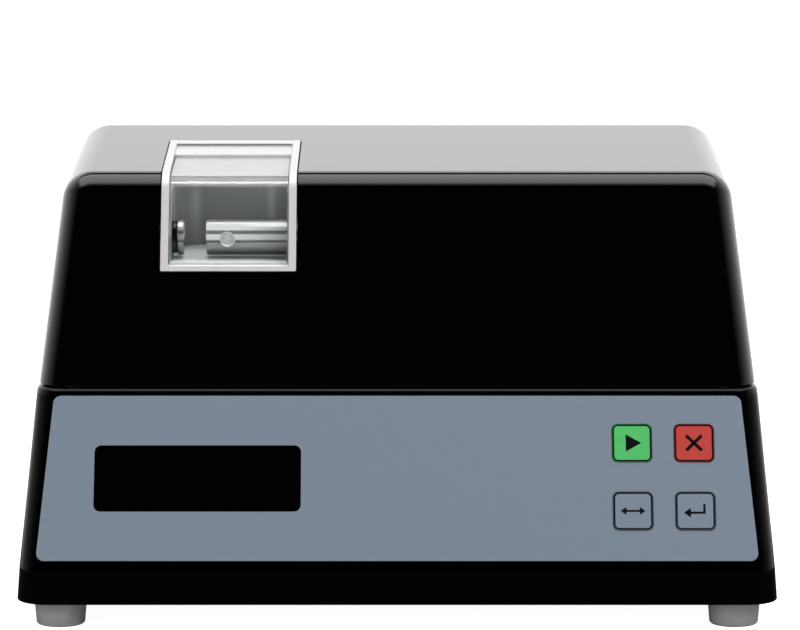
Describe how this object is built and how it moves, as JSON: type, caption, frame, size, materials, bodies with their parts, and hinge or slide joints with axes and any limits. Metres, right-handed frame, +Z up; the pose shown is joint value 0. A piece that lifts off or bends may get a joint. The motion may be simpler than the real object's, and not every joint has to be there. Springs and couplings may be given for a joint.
{
  "type": "tablet hardness tester",
  "caption": "Bench-top tester that crushes a tablet between a fixed platen and a motor-driven jaw in a small lidded chamber, with a wedge-shaped housing, display window and sprung keys.",
  "frame": {"origin": "centre of the footprint, on the surface that the feet stand on", "axes": "+X to the right of someone facing the control panel (the longest side), +Y to the back, +Z up"},
  "size_m": [0.33, 0.238, 0.1978],
  "materials": {
    "housing_black": "gloss black moulded housing",
    "foot_rubber": "matt grey rubber",
    "overlay_blue": "satin blue-grey printed film",
    "window_black": "dark display filter",
    "key_green": "satin green key",
    "key_red": "satin red key",
    "key_plain": "satin blue-grey key",
    "frame_steel": "satin stainless steel",
    "liner_steel": "dull stainless sheet",
    "bright_steel": "fine turned stainless steel",
    "screw_steel": "zinc-plated steel",
    "plate_aluminium": "milled aluminium",
    "lid_clear": "clear folded acrylic",
    "bronze": "sintered bronze",
    "board": "green circuit board",
    "part_black": "black moulded plastic",
    "motor_black": "black painted steel",
    "grub_steel": "blackened steel"
  },
  "bodies": {
    "housing": {"base_shell": "housing_black", "hood": "housing_black", "bottom_plate": "plate_aluminium", "feet": "foot_rubber", "foot_screws": "screw_steel", "deck_plate": "plate_aluminium", "deck_screws": "screw_steel", "hood_screws": "screw_steel", "panel_overlay": "overlay_blue", "display_window": "window_black", "display_module": "board", "keypad_board": "board", "key_switches": "part_black", "board_posts": "plate_aluminium", "chamber_floor": "frame_steel", "left_cheek": "frame_steel", "right_cheek": "frame_steel", "rear_bar": "frame_steel", "chamber_liner": "liner_steel", "hinge_strip": "frame_steel", "chamber_posts": "plate_aluminium", "hinge_pin": "bright_steel", "fixed_platen": "bright_steel", "platen_stem": "bright_steel", "load_cell": "plate_aluminium", "left_end_plate": "plate_aluminium", "right_end_plate": "plate_aluminium", "plate_screws": "screw_steel", "guide_rods": "bright_steel", "screw_bearing": "bright_steel", "motor_body": "motor_black", "motor_plate": "plate_aluminium", "motor_standoffs": "screw_steel", "main_board": "board", "power_supply": "screw_steel", "board_spacers": "screw_steel", "rear_panel": "motor_black", "rear_screws": "screw_steel", "power_inlet": "part_black", "inlet_pins": "bright_steel", "rocker_frame": "part_black", "data_port": "screw_steel"},
    "lid": {"lid": "lid_clear", "lid_hinge_rail": "plate_aluminium"},
    "jaw_carriage": {"jaw_sleeve": "bright_steel", "jaw_grub_screw": "grub_steel", "jaw_shaft": "bright_steel", "crosshead": "plate_aluminium", "guide_bushes": "bronze", "drive_nut": "bronze"},
    "screw": {"lead_screw": "bright_steel", "shaft_coupling": "plate_aluminium", "motor_shaft": "bright_steel"},
    "start_key": {"key_start": "key_green"},
    "cancel_key": {"key_cancel": "key_red"},
    "size_key": {"key_size": "key_plain"},
    "enter_key": {"key_enter": "key_plain"},
    "rocker": {"power_rocker": "part_black"}
  },
  "joints": [
    {"name": "lid_hinge", "type": "hinge", "parent": "housing", "child": "lid", "pos_m": [-0.0747, 0.011, 0.18435], "axis": [-1, 0, 0], "range_deg": [0, 95]},
    {"name": "jaw_slide", "type": "slide", "parent": "housing", "child": "jaw_carriage", "axis": [-1, 0, 0], "range_m": [-0.02, 0.0095]},
    {"name": "screw_turn", "type": "hinge", "parent": "housing", "child": "screw", "pos_m": [0.03, -0.015, 0.1346], "axis": [1, 0, 0], "range_deg": [-1801, 856]},
    {"name": "start_press", "type": "slide", "parent": "housing", "child": "start_key", "axis": [0, 0.8829, -0.4695], "range_m": [0, 0.0005], "stiffness_N_per_m": 4000},
    {"name": "cancel_press", "type": "slide", "parent": "housing", "child": "cancel_key", "axis": [0, 0.8829, -0.4695], "range_m": [0, 0.0005], "stiffness_N_per_m": 4000},
    {"name": "size_press", "type": "slide", "parent": "housing", "child": "size_key", "axis": [0, 0.8829, -0.4695], "range_m": [0, 0.0005], "stiffness_N_per_m": 4000},
    {"name": "enter_press", "type": "slide", "parent": "housing", "child": "enter_key", "axis": [0, 0.8829, -0.4695], "range_m": [0, 0.0005], "stiffness_N_per_m": 4000},
    {"name": "rocker_tip", "type": "hinge", "parent": "housing", "child": "rocker", "pos_m": [-0.008, 0.11038, 0.05508], "axis": [1, 0, 0], "range_deg": [0, 16]}
  ],
  "couplings": [
    {"joint": "screw_turn", "follows": "jaw_slide", "rad_per_m": 1570.8}
  ]
}
